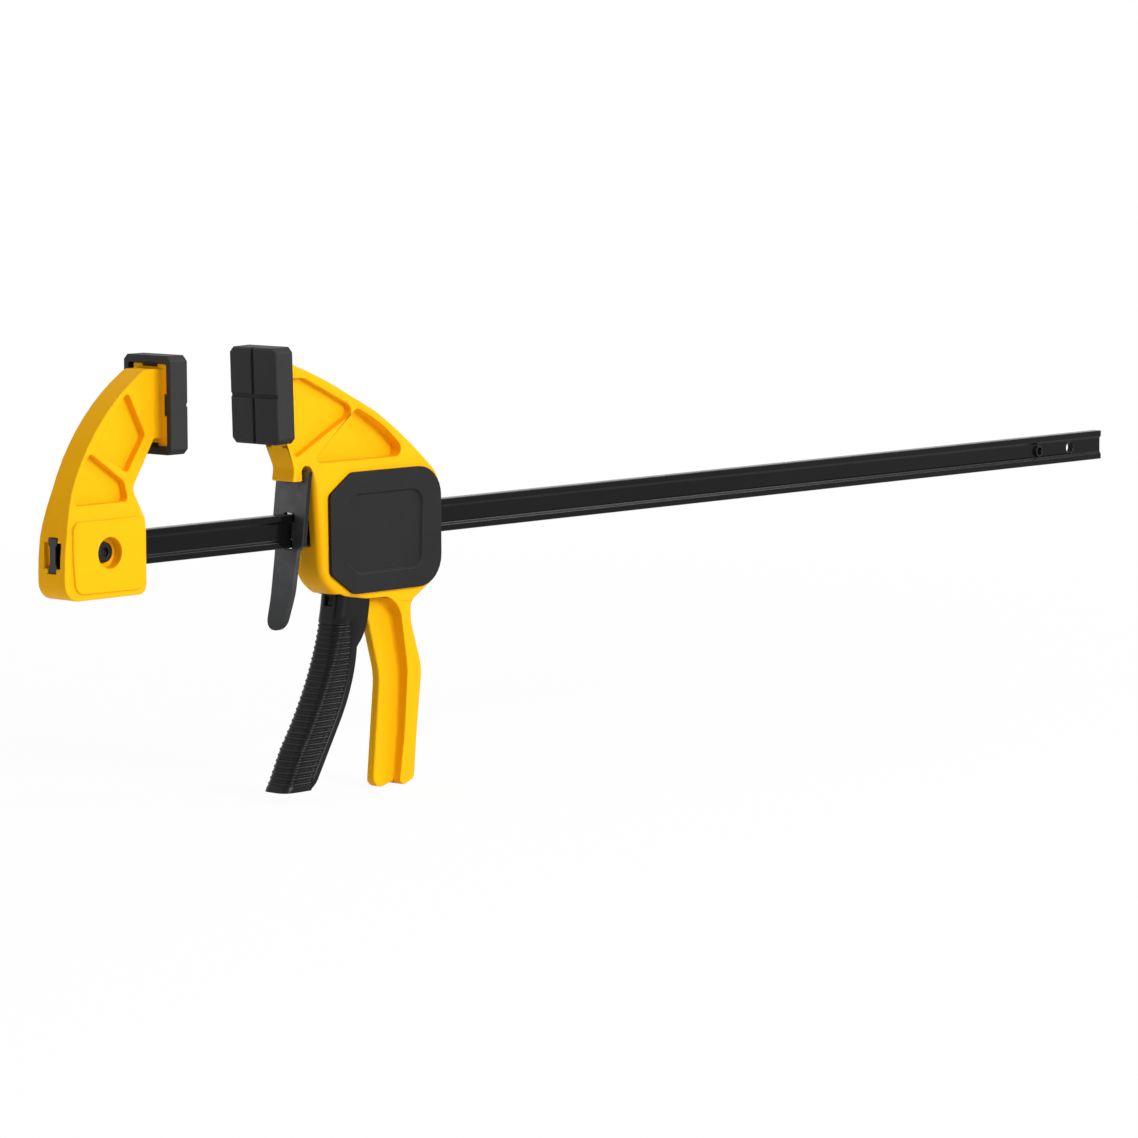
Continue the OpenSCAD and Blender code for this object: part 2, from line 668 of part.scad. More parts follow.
module trigger() {
    color("#232324") translate([opening, 0, 0]) difference() {
        union() {
            difference() {
                grip();
                slab(grip_channel, -grip_inner_y, grip_inner_y);
            }
            slab(fork, -fork_y, fork_y);
            slab(bridge, -3.6, 3.6);
            y_hole(nose_x, nose_z, nose_r, -3.6, 3.6);
        }
        // the gap between the fork's arms, where the bar and the handle's web pass
        difference() {
            translate([0, -3.4, grip_top - 1]) cube([big, 6.8, 80]);
            slab(bridge, -3.6, 3.6);
            y_hole(nose_x, nose_z, nose_r, -3.6, 3.6);
        }
        y_hole(pivot_x, pivot_z, pivot_r + pin_gap);
        translate([0, -3.1, -41.2]) cube([grip_front(-38) + grip_wall + 0.5, 6.2, 5.2]);
    }
}

module trigger_pin() {
    color("silver") translate([opening, 0, 0])
        y_hole(pivot_x, pivot_z, pivot_r, -housing_y + 0.1, housing_y - 0.1);
}

// ---- release lever --------------------------------------------------------------------------

// The lever seen from the side: a straight plate at the bar, then a finger tab that bends forward
lever_path = [
    [0, 1.2], [0, -35], [-0.8, -62.2], [-4, -80.6]];

module release_lever() {
    top = lever_pivot[1] + 1.5;
    foot = -50.4;
    side = outline(concat(
        [for (i = [0:3]) let (p = lever_path[i])
            [lever_x + p[0] + (p[1] < 1 ? p[1] * tan(lever_lean) : 0.2), slot_z + p[1], [1.2, 0, 60, 0][i]]],
        [for (i = [3:-1:0]) let (p = lever_path[i])
            [lever_x + lever_t + p[0] + (p[1] < 1 ? p[1] * tan(lever_lean) : 0.2), slot_z + p[1],
             [1.2, 0, 60, 0][i]]]));
    face = outline([
        [-lever_y, top, 0], [-lever_y, -bar_h / 2 + 0.6, 1.5], [-lever_tab_y, -bar_h / 2 - 0.4, 2.5],
        [-lever_tab_y + 0.3, -30, 30], [-6.4, foot, 6.2], [6.4, foot, 6.2], [lever_tab_y - 0.3, -30, 30],
        [lever_tab_y, -bar_h / 2 - 0.4, 2.5], [lever_y, -bar_h / 2 + 0.6, 1.5], [lever_y, top, 0]]);
    hole_z = bar_h / 2 + slide_gap + lever_t * tan(lever_lean) / 2;
    color("#5a5a5e") translate([opening, 0, 0]) difference() {
        intersection() {
            slab(side, -lever_y, lever_y);
            block(face, -big, big);
        }
        translate([-big, -bar_w / 2 - 0.8, -hole_z]) cube([2 * big, bar_w + 1.6, 2 * hole_z]);
    }
}

module release_spring() {
    z = bar_h / 2 + 7.4;
    back = lever_x + lever_t - (slot_z - z) * tan(lever_lean);
    color("silver") translate([opening, 0, 0]) coil(back + 0.5, head_front + 6, z, release_coil_r, 5);
}

// ---- drive plates ---------------------------------------------------------------------------

module drive_plate(i) {
    face = rectangle(-fork_y, -24, fork_y, 9 + bar_h / 4, 2.5);
    x = plate_x + i * drive_plate_t;
    color("#77777a") translate([opening, 0, 0]) difference() {
        block(face, x, x + drive_plate_t);
        translate([0, -bar_w / 2 - slide_gap, -bar_h / 2 - slide_gap])
            cube([big, bar_w + 2 * slide_gap, bar_h + 2 * slide_gap]);
    }
}

module drive_plate_1() {
    drive_plate(0);
}

module drive_plate_2() {
    drive_plate(1);
}

module drive_plate_3() {
    drive_plate(2);
}

module drive_spring() {
    color("silver") translate([opening, 0, 0])
        coil(plates_end + 0.1, rear_wall_x + 1.9, nose_z, drive_coil_r, 6);
}

bar();
stop_pin();
fixed_jaw();
fixed_jaw_screw();
fixed_jaw_nut();
fixed_jaw_pad();
housing();
moving_jaw_pad();
cover_left();
cover_right();
trigger();
trigger_pin();
release_lever();
release_spring();
drive_plate_1();
drive_plate_2();
drive_plate_3();
drive_spring();
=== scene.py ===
import math
import bmesh
import bpy
from mathutils import Matrix, Vector


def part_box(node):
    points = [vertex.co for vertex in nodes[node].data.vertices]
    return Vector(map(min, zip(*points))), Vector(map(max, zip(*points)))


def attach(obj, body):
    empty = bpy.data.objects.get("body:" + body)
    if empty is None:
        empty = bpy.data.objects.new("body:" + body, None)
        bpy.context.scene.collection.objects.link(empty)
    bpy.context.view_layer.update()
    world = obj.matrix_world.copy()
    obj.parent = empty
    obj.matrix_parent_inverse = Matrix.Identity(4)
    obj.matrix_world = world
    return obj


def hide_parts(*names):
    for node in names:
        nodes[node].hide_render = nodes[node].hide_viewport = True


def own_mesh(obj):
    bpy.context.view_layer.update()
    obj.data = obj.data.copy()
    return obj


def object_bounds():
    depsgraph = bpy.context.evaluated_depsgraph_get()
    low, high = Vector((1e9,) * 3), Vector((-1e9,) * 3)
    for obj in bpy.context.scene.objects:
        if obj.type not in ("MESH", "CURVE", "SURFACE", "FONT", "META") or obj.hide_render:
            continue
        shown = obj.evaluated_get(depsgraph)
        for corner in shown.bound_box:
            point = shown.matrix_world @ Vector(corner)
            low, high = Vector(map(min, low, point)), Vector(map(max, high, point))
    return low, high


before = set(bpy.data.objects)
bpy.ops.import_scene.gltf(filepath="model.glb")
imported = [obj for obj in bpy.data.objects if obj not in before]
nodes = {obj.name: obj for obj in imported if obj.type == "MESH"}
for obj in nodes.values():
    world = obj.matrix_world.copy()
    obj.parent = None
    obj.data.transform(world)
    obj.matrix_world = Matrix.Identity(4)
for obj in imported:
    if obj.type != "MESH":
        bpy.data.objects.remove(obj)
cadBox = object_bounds()
scene = bpy.context.scene
scene.view_settings.view_transform = "Standard"
mm = 0.001

# the camera, worked out in the clamp's own frame

cameraLook = {
    "yaw": 47.16,           # degrees from +Y towards +X
    "pitch": 6.24,          # degrees downwards
    "roll": 0.23,
    "side": -200.8,         # the origin's place in the view, in mm
    "drop": -12.6,
    "distance": 2581.2,     # from the camera to the bar's start, in mm
    "focal": 5166.46,       # in pixels of a frame that is framePixels wide
    "framePixels": 1138,
    "sensor": 36,           # mm
    "clipEnd": 200,         # metres
}


def placeCamera(look):
    yaw, pitch, roll = (math.radians(look[k]) for k in ("yaw", "pitch", "roll"))
    ahead = Vector((math.sin(yaw) * math.cos(pitch), math.cos(yaw) * math.cos(pitch), -math.sin(pitch)))
    right = Vector((math.cos(yaw), -math.sin(yaw), 0))
    down = ahead.cross(right)
    right, down = (right * math.cos(roll) + down * math.sin(roll),
                   down * math.cos(roll) - right * math.sin(roll))
    place = -(look["side"] * right + look["drop"] * down + look["distance"] * ahead) * mm
    data = bpy.data.cameras.new("camera")
    data.sensor_width = look["sensor"]
    data.lens = look["focal"] / look["framePixels"] * look["sensor"]
    data.clip_end = look["clipEnd"]
    camera = bpy.data.objects.new("camera", data)
    turn = Matrix((right, -down, -ahead)).transposed()
    camera.matrix_world = Matrix.Translation(place) @ turn.to_4x4()
    scene.collection.objects.link(camera)
    scene.camera = camera


placeCamera(cameraLook)

# the studio: one pale floor, white all round, and four soft lamps

stageLook = {
    "worldLevel": 0.22,     # light from all round
    "floorSize": 160.0,     # metres
    "floorGap": 0.4,        # mm from the clamp's lowest point to the floor
    "floorPaper": 0.9,      # how pale the floor is where light falls on it
    "floorWhite": 0.95,     # share of the floor that is plain white near the clamp
    "whiteFades": (0.5, 1.6),   # metres from the clamp between which the floor turns all white
    "aim": (0.12, 0, 0),    # what the lamps point at
    "key": {"place": (0.2, -2.9, 1.35), "size": 1.6, "watts": 94},
    "side": {"place": (2.4, -1.6, 1.35), "size": 0.9, "watts": 28},
    "fill": {"place": (-2.4, 0.5, 1.0), "size": 1.8, "watts": 12},
    "top": {"place": (0.2, 0.6, 2.6), "size": 1.6, "watts": 14},
}


def seenWhite(tree):
    # 1 for what the camera sees, also in a reflection, and 0 for what only lights
    path = tree.nodes.new("ShaderNodeLightPath")
    last = path.outputs["Is Camera Ray"]
    for ray in ("Is Glossy Ray", "Is Transmission Ray"):
        either = tree.nodes.new("ShaderNodeMath")
        either.operation = "MAXIMUM"
        tree.links.new(last, either.inputs[0])
        tree.links.new(path.outputs[ray], either.inputs[1])
        last = either.outputs[0]
    return last


def makeWorld(look):
    world = bpy.data.worlds.new("studio")
    world.use_nodes = True
    scene.world = world
    tree = world.node_tree
    tree.nodes.clear()
    out = tree.nodes.new("ShaderNodeOutputWorld")
    lit = tree.nodes.new("ShaderNodeBackground")
    lit.inputs["Color"].default_value = (1, 1, 1, 1)
    lit.inputs["Strength"].default_value = look["worldLevel"]
    white = tree.nodes.new("ShaderNodeBackground")
    white.inputs["Color"].default_value = (1, 1, 1, 1)
    mix = tree.nodes.new("ShaderNodeMixShader")
    tree.links.new(seenWhite(tree), mix.inputs[0])
    tree.links.new(lit.outputs[0], mix.inputs[1])
    tree.links.new(white.outputs[0], mix.inputs[2])
    tree.links.new(mix.outputs[0], out.inputs["Surface"])


def spread(tree, fac, low, high, start=0.3, end=0.7):
    ramp = tree.nodes.new("ShaderNodeMapRange")
    ramp.inputs["From Min"].default_value = start
    ramp.inputs["From Max"].default_value = end
    ramp.inputs["To Min"].default_value = low
    ramp.inputs["To Max"].default_value = high
    tree.links.new(fac, ramp.inputs["Value"])
    return ramp.outputs[0]


def makeFloor(look, height):
    half = look["floorSize"] / 2
    mesh = bpy.data.meshes.new("floor")
    corners = ((-half, -half), (half, -half), (half, half), (-half, half))
    mesh.from_pydata([(x, y, height) for x, y in corners], [], [(0, 1, 2, 3)])
    floor = bpy.data.objects.new("floor", mesh)
    scene.collection.objects.link(floor)
    mat = bpy.data.materials.new("floorPaper")
    mat.use_nodes = True
    tree = mat.node_tree
    tree.nodes.clear()
    out = tree.nodes.new("ShaderNodeOutputMaterial")
    paper = tree.nodes.new("ShaderNodeBsdfDiffuse")
    paper.inputs["Color"].default_value = (*[look["floorPaper"]] * 3, 1)
    white = tree.nodes.new("ShaderNodeEmission")
    white.inputs["Strength"].default_value = 1
    place = tree.nodes.new("ShaderNodeTexCoord")
    far = tree.nodes.new("ShaderNodeVectorMath")
    far.operation = "LENGTH"
    tree.links.new(place.outputs["Object"], far.inputs[0])
    share = tree.nodes.new("ShaderNodeMath")
    share.operation = "MULTIPLY"
    tree.links.new(spread(tree, far.outputs["Value"], look["floorWhite"], 1, *look["whiteFades"]),
                   share.inputs[1])
    mix = tree.nodes.new("ShaderNodeMixShader")
    tree.links.new(seenWhite(tree), share.inputs[0])
    tree.links.new(share.outputs[0], mix.inputs[0])
    tree.links.new(paper.outputs[0], mix.inputs[1])
    tree.links.new(white.outputs[0], mix.inputs[2])
    tree.links.new(mix.outputs[0], out.inputs["Surface"])
    mesh.materials.append(mat)


def addLamp(name, look, aim):
    data = bpy.data.lights.new(name, "AREA")
    data.size = look["size"]
    data.energy = look["watts"]
    lamp = bpy.data.objects.new(name, data)
    place = Vector(look["place"])
    turn = (place - aim).to_track_quat("Z", "Y").to_matrix().to_4x4()
    lamp.matrix_world = Matrix.Translation(place) @ turn
    scene.collection.objects.link(lamp)


makeWorld(stageLook)
makeFloor(stageLook, cadBox[0][2] - stageLook["floorGap"] * mm)
for lampName in ("key", "side", "fill", "top"):
    addLamp(lampName, stageLook[lampName], Vector(stageLook["aim"]))
print("studio ready")

# finishes, all read in Object coordinates

edgeLook = {
    "samples": 4,
    "corner": 0.8,          # cosine of a normal's turn at which an edge takes the full painted highlight
    "flat": 0.99,           # and at which it takes none
    "spot": 1.6,            # size of the patches of painted highlight in mm
    "least": 0.35,          # share of the painted highlight that is left between them
}


def newShader(name):
    mat = bpy.data.materials.new(name)
    mat.use_nodes = True
    tree = mat.node_tree
    tree.nodes.clear()
    out = tree.nodes.new("ShaderNodeOutputMaterial")
    shader = tree.nodes.new("ShaderNodeBsdfPrincipled")
    tree.links.new(shader.outputs[0], out.inputs["Surface"])
    return mat, tree, shader


def noiseAt(tree, size, detail, stretch=(1, 1, 1)):
    place = tree.nodes.new("ShaderNodeTexCoord")
    turn = tree.nodes.new("ShaderNodeMapping")
    turn.inputs["Scale"].default_value = stretch
    noise = tree.nodes.new("ShaderNodeTexNoise")
    noise.inputs["Scale"].default_value = 1 / (size * mm)
    noise.inputs["Detail"].default_value = detail
    tree.links.new(place.outputs["Object"], turn.inputs["Vector"])
    tree.links.new(turn.outputs[0], noise.inputs["Vector"])
    return noise.outputs["Fac"]


def blendColours(tree, fac, first, second):
    mix = tree.nodes.new("ShaderNodeMix")
    mix.data_type = "RGBA"
    # by number, because the node's inputs for numbers and for colours share their names
    for socket, colour in ((mix.inputs[6], first), (mix.inputs[7], second)):
        if isinstance(colour, tuple):
            socket.default_value = (*colour, 1)
        else:
            tree.links.new(colour, socket)
    tree.links.new(fac, mix.inputs[0])
    return mix.outputs[2]


def roundedNormal(tree, reach):
    rounded = tree.nodes.new("ShaderNodeBevel")
    rounded.samples = edgeLook["samples"]
    rounded.inputs["Radius"].default_value = reach * mm
    return rounded.outputs[0]


def edgeShare(tree, reach):
    # 1 along outer and inner edges, 0 on flats
    flat = tree.nodes.new("ShaderNodeNewGeometry")
    dot = tree.nodes.new("ShaderNodeVectorMath")
    dot.operation = "DOT_PRODUCT"
    tree.links.new(roundedNormal(tree, reach), dot.inputs[0])
    tree.links.new(flat.outputs["Normal"], dot.inputs[1])
    return spread(tree, dot.outputs["Value"], 1, 0, edgeLook["corner"], edgeLook["flat"])


def makeFinish(name, look):
    mat, tree, shader = newShader(name)
    stretch = look.get("stretch", (1, 1, 1))
    cloud = spread(tree, noiseAt(tree, look["cloud"], 2, stretch), 0, 1)
    colour = blendColours(tree, cloud, look["colour"], look["shade"])
    # painted highlight: the edge colour laid along outer and inner edges, broken into patches by noise
    if "edge" in look:
        paintedHighlight = tree.nodes.new("ShaderNodeMath")
        paintedHighlight.operation = "MULTIPLY"
        highlightPatches = spread(tree, noiseAt(tree, edgeLook["spot"], 3), edgeLook["least"], 1)
        tree.links.new(edgeShare(tree, look["edgeReach"]), paintedHighlight.inputs[0])
        tree.links.new(highlightPatches, paintedHighlight.inputs[1])
        colour = blendColours(tree, paintedHighlight.outputs[0], colour, look["edge"])
    for axis, start, end, other in look.get("fades", ()):
        # another colour from one place to another along an axis, in mm
        place = tree.nodes.new("ShaderNodeTexCoord")
        split = tree.nodes.new("ShaderNodeSeparateXYZ")
        tree.links.new(place.outputs["Object"], split.inputs[0])
        share = spread(tree, split.outputs[axis], 0, 1, start * mm, end * mm)
        colour = blendColours(tree, share, colour, other)
    tree.links.new(colour, shader.inputs["Base Color"])
    grain = noiseAt(tree, look["grain"], 4, stretch)
    tree.links.new(spread(tree, grain, *look["rough"]), shader.inputs["Roughness"])
    bump = tree.nodes.new("ShaderNodeBump")
    if "soft" in look:
        # moulded corners, a little rounder than the mesh
        tree.links.new(roundedNormal(tree, look["soft"]), bump.inputs["Normal"])
    bump.inputs["Strength"].default_value = look["bump"]
    bump.inputs["Distance"].default_value = look["grain"] / 2 * mm
    tree.links.new(grain, bump.inputs["Height"])
    tree.links.new(bump.outputs[0], shader.inputs["Normal"])
    shader.inputs["Metallic"].default_value = look.get("metal", 0)
    shader.inputs["Specular IOR Level"].default_value = look.get("specular", 0.5)
    return mat


def sawnEnds(nodeName, colour, start=0.4, end=0.1):
    # fades that leave a bar's two ends bare, between these depths in mm
    low, high = (corner[0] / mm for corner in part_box(nodeName))
    return [("X", low + start, low + end, colour), ("X", high - start, high - end, colour)]


def paintedShadeSides(halfWidth, colour, start=0.3, end=0.05):
    # fades that paint shade on a plate's two side faces, darkening them
    return [("Y", side * (halfWidth - start), side * (halfWidth - end), colour) for side in (-1, 1)]


# sizes in mm, and rough is the range of the roughness; edge is the colour of a painted highlight along
# rounded edges, with its reach in mm

finishes = {
    "yellowNylon": {"colour": (0.9, 0.435, 0.001), "shade": (0.88, 0.415, 0.001), "cloud": 30,
                    "grain": 0.5, "bump": 0.06, "rough": (0.42, 0.52), "specular": 0.08, "soft": 0.9},
    "padRubber": {"colour": (0.0095, 0.0095, 0.01), "shade": (0.0075, 0.0075, 0.008), "cloud": 12,
                  "grain": 0.45, "bump": 0.25, "rough": (0.55, 0.7), "specular": 0.31, "soft": 0.5},
    # painted highlight along the covers' edges and sunk middles
    "coverPlastic": {"colour": (0.0078, 0.008, 0.0086), "shade": (0.0058, 0.006, 0.0066), "cloud": 18,
                     "grain": 0.4, "bump": 0.2, "rough": (0.45, 0.58), "specular": 0.18,
                     "edge": (0.03, 0.031, 0.033), "edgeReach": 0.45},
    "triggerPlastic": {"colour": (0.004, 0.004, 0.0043), "shade": (0.003, 0.003, 0.0033), "cloud": 14,
                       "grain": 0.5, "bump": 0.05, "rough": (0.28, 0.36), "specular": 0.17},
    # painted highlight lines along the bar's edges and groove slopes
    "barCoating": {"colour": (0.0028, 0.0028, 0.003), "shade": (0.004, 0.004, 0.0044), "cloud": 25,
                   "grain": 0.9, "bump": 0.04, "rough": (0.16, 0.26), "specular": 0.1,
                   "edge": (0.42, 0.42, 0.43), "edgeReach": 0.45, "stretch": (0.15, 1, 1),
                   "fades": sawnEnds("bar", (0.06, 0.06, 0.062))},
    # painted highlight along the lever's edges
    "leverSteel": {"colour": (0.075, 0.076, 0.08), "shade": (0.045, 0.046, 0.049), "cloud": 9,
                   "grain": 0.35, "bump": 0.1, "rough": (0.3, 0.42), "metal": 0.6,
                   "edge": (0.2, 0.2, 0.21), "edgeReach": 0.5,
                   # painted shade: the lever darker towards its lower end, and on its two side faces
                   "fades": [("Z", 0, -50, (0.018, 0.0185, 0.02)),
                             *paintedShadeSides(11.8, (0.006, 0.006, 0.0065))]},
    "plateSteel": {"colour": (0.22, 0.22, 0.225), "shade": (0.15, 0.15, 0.155), "cloud": 6,
                   "grain": 0.3, "bump": 0.1, "rough": (0.3, 0.45), "metal": 0.9},
    "zincSteel": {"colour": (0.55, 0.55, 0.56), "shade": (0.45, 0.45, 0.47), "cloud": 5,
                  "grain": 0.3, "bump": 0.1, "rough": (0.25, 0.4), "metal": 1},
    # painted highlight along the pin's and screw's rims
    "blackSteel": {"colour": (0.004, 0.0045, 0.005), "shade": (0.007, 0.007, 0.0075), "cloud": 3,
                   "grain": 0.3, "bump": 0.1, "rough": (0.2, 0.32), "metal": 0.1, "specular": 0.25,
                   "edge": (0.12, 0.12, 0.125), "edgeReach": 0.25},
    "springSteel": {"colour": (0.32, 0.32, 0.33), "shade": (0.22, 0.22, 0.23), "cloud": 3,
                    "grain": 0.2, "bump": 0.1, "rough": (0.25, 0.4), "metal": 1},
}
materials = {name: makeFinish(name, look) for name, look in finishes.items()}
print("finishes ready")

# moulded and pressed pieces: the frame's shape with its edges rounded

mouldings = {
    # node: (piece, finish, body, slot, rounding in mm, steps, angle)
    "bar": ("rolledBar", "barCoating", "bar", "bar_steel", 0.35, 2, 30),
    "stop_pin": ("rolledPin", "blackSteel", "bar", "black_steel", 0.2, 2, 45),
    "fixed_jaw": ("fixedJaw", "yellowNylon", "bar", "yellow_moulding", 0.3, 2, 44),
    "fixed_jaw_screw": ("jawScrew", "blackSteel", "bar", "black_steel", 0.35, 3, 45),
    "fixed_jaw_pad": ("fixedPad", "padRubber", "bar", "pad_rubber", 0.4, 3, 40),
    "housing": ("headHousing", "yellowNylon", "head", "yellow_moulding", 0.3, 2, 44),
    "moving_jaw_pad": ("movingPad", "padRubber", "head", "pad_rubber", 0.4, 3, 40),
    "cover_left": ("coverLeft", "coverPlastic", "head", "cover_plastic", 0.3, 2, 50),
    "cover_right": ("coverRight", "coverPlastic", "head", "cover_plastic", 0.3, 2, 50),
    "release_lever": ("releaseLever", "leverSteel", "release_lever", "lever_steel", 0.5, 3, 44),
}
mergeLook = {
    "distance": 0.002,      # mm within which two corners are one
    "flatAngle": 0.5,       # degrees within which two faces are one
}


def mergedCopy(nodeName, cutter=None):
    work = bmesh.new()
    work.from_mesh(nodes[nodeName].data)
    bmesh.ops.remove_doubles(work, verts=work.verts, dist=mergeLook["distance"] * mm)
    if cutter:
        uncut = toPiece(work, nodeName + "Uncut", "yellowNylon")
        cutAway(uncut, cutter)
        work = bmesh.new()
        work.from_mesh(uncut.data)
        bpy.data.objects.remove(uncut)
    bmesh.ops.dissolve_limit(work, angle_limit=math.radians(mergeLook["flatAngle"]),
                             verts=work.verts, edges=work.edges)
    return work


def softenEdges(work, lines, chosen):
    # rounds single edges more than the rest, before the general rounding
    for width, steps, test in lines:
        edges = [e for e in work.edges if len(e.link_faces) == 2 and chosen(e) and test(e)]
        print("softened", len(edges), "edges by", width)
        bmesh.ops.bevel(work, geom=edges, offset=width * mm, offset_type="OFFSET", segments=steps,
                        profile=0.5, affect="EDGES", clamp_overlap=False, miter_outer="ARC")


def toPiece(work, name, finish):
    mesh = bpy.data.meshes.new(name)
    work.to_mesh(mesh)
    work.free()
    mesh.materials.append(materials[finish])
    piece = bpy.data.objects.new(name, mesh)
    scene.collection.objects.link(piece)
    return piece


def cutAway(piece, cutter):
    cut = piece.modifiers.new("cut", "BOOLEAN")
    cut.operation = "DIFFERENCE"
    cut.solver = "EXACT"
    cut.use_self = True
    cut.object = cutter
    graph = bpy.context.evaluated_depsgraph_get()
    graph.update()
    piece.data = bpy.data.meshes.new_from_object(piece.evaluated_get(graph))
    piece.modifiers.remove(cut)
    bpy.data.objects.remove(cutter)


def roundEdges(piece, width, steps, angle):
    piece.data.polygons.foreach_set("use_smooth", [True] * len(piece.data.polygons))
    bevel = piece.modifiers.new("rounding", "BEVEL")
    bevel.width = width * mm
    bevel.segments = steps
    bevel.limit_method = "ANGLE"
    bevel.angle_limit = math.radians(angle)
    bevel.use_clamp_overlap = False
    bevel.miter_outer = "MITER_ARC"
    shading = piece.modifiers.new("shading", "WEIGHTED_NORMAL")
    shading.mode = "FACE_AREA"
    shading.keep_sharp = True


def settle(piece, nodeName, body):
    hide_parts(nodeName)
    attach(piece, body)


# the head's front edge, rounded from the lever's slot down to the chin

chinLook = {
    "headAt": 60.4,         # where the head's own x starts
    "halfWidth": 10.8,
    "radius": 4.3,
    "endRadius": 0.35,      # where the rounding has faded out
    "fadeFrom": 61.0,       # x at which it starts to fade
    # the front edge's corners from the slot down, as (x, z, radius)
    "line": [(32.8, 30.0, 0), (37.4, -25.5, 18), (49.1, -36.2, 28), (61.6, -38.2, 20), (74.0, -38.2, 0)],
    "steps": 8,             # of each arc
    "spacing": 2.5,         # between the cutter's rings
    "outside": 3,           # how far the cutter stands out in front
    "beside": 2,            # and at the sides
    "clear": 0.02,          # keeps the cutter off the flat faces
}


def roundedLine(corners, steps):
    points = []
    for i, (x, z, r) in enumerate(corners):
        here = Vector((x, z))
        if r == 0:
            points.append(here)
            continue
        back = (Vector(corners[i - 1][:2]) - here).normalized()
        ahead = (Vector(corners[i + 1][:2]) - here).normalized()
        half = back.angle(ahead) / 2
        centre = here + (back + ahead).normalized() * (r / math.sin(half))
        start, end = here + back * (r / math.tan(half)), here + ahead * (r / math.tan(half))
        for k in range(steps + 1):
            points.append(centre + (start - centre).slerp(end - centre, k / steps).normalized() * r)
    return points


def chinSection(x, look=chinLook):
    # what one ring of the cutter takes off, as (depth from the front, y)
    wide, out, beside = look["halfWidth"], look["outside"], look["halfWidth"] + look["beside"]
    fade = max(0, (x - look["fadeFrom"]) / (look["line"][-1][0] - look["fadeFrom"]))
    r = look["radius"] + (look["endRadius"] - look["radius"]) * fade ** 2 * (3 - 2 * fade)
    half = [(-out, beside), (r, beside), (r, wide + look["clear"])]
    for k in range(1, look["steps"]):
        a = math.pi / 2 * k / look["steps"]
        half.append((r - r * math.sin(a), wide - r + r * math.cos(a)))
    half.append((-look["clear"], wide - r))
    return [(d, -y) for d, y in half] + [(d, y) for d, y in reversed(half)]


def chinCutter(look=chinLook):
    # the rings follow the front edge down and span the whole width
    work = bmesh.new()
    corner = roundedLine(look["line"], look["steps"])
    line = [corner[0]]
    for here in corner[1:]:
        pieces = max(1, round((here - line[-1]).length / look["spacing"]))
        line += [line[-1].lerp(here, (k + 1) / pieces) for k in range(pieces)]
    rings = []
    for i, here in enumerate(line):
        ahead = (line[min(i + 1, len(line) - 1)] - line[max(i - 1, 0)]).normalized()
        inward = Vector((-ahead.y, ahead.x))
        rings.append([work.verts.new(((here.x + inward.x * d + look["headAt"]) * mm, y * mm,
                                      (here.y + inward.y * d) * mm)) for d, y in chinSection(here.x)])
    for a, b in zip(rings, rings[1:]):
        for j in range(len(a)):
            k = (j + 1) % len(a)
            work.faces.new((a[j], a[k], b[k], b[j]))
    work.faces.new(rings[0])
    work.faces.new(rings[-1])
    bmesh.ops.recalc_face_normals(work, faces=work.faces)
    return toPiece(work, "chinCutter", "yellowNylon")


# single edges of the handle and of the covers' sunk middles

handleLook = {
    "corner": 30,           # degrees from which an edge counts as a corner
    "front": 130,           # mm, where the handle starts
    "top": -38.1,
    "bottom": -136,
    "webHalf": 2.8,         # what lies within this of the middle belongs to the web
    "webTop": -39.6,
}
coverLook = {
    "recess": ((113.8, 169.7), (-24.5, 16.9)),      # x and z between which the sunk middle lies
    "outside": 12.9,        # y past which the outer faces lie
}


def within(edge, axis, low, high):
    return all(low * mm < v.co[axis] < high * mm for v in edge.verts)


def onHandle(e, look=handleLook):
    corner = e.calc_face_angle(0) > math.radians(look["corner"])
    return corner and within(e, 2, look["bottom"], look["top"]) and within(e, 0, look["front"], math.inf)


def onWeb(e, look=handleLook):
    return within(e, 1, -look["webHalf"], look["webHalf"])


def onRecess(e, look=coverLook):
    return within(e, 0, *look["recess"][0]) and within(e, 2, *look["recess"][1])


def onOutside(e, look=coverLook):
    return all(abs(v.co.y) > look["outside"] * mm for v in e.verts)


# rounding in mm, steps, and which of the chosen edges
handleLines = [
    (1.0, 3, lambda e: e.is_convex and onWeb(e)),
    (1.7, 5, lambda e: not e.is_convex and onWeb(e) and within(e, 2, -math.inf, handleLook["webTop"])),
]
coverLines = [(1.0, 2, onOutside)]

for nodeName, (pieceName, finish, body, slotName, width, steps, angle) in mouldings.items():
    work = mergedCopy(nodeName, chinCutter() if nodeName == "housing" else None)
    if nodeName == "housing":
        softenEdges(work, handleLines, onHandle)
    if nodeName in ("cover_left", "cover_right"):
        softenEdges(work, coverLines, onRecess)
    piece = toPiece(work, pieceName, finish)
    roundEdges(piece, width, steps, angle)
    settle(piece, nodeName, body)
print("mouldings ready:", len(mouldings))

# the squeeze trigger: a lofted grip under the fork, with ribs round its front

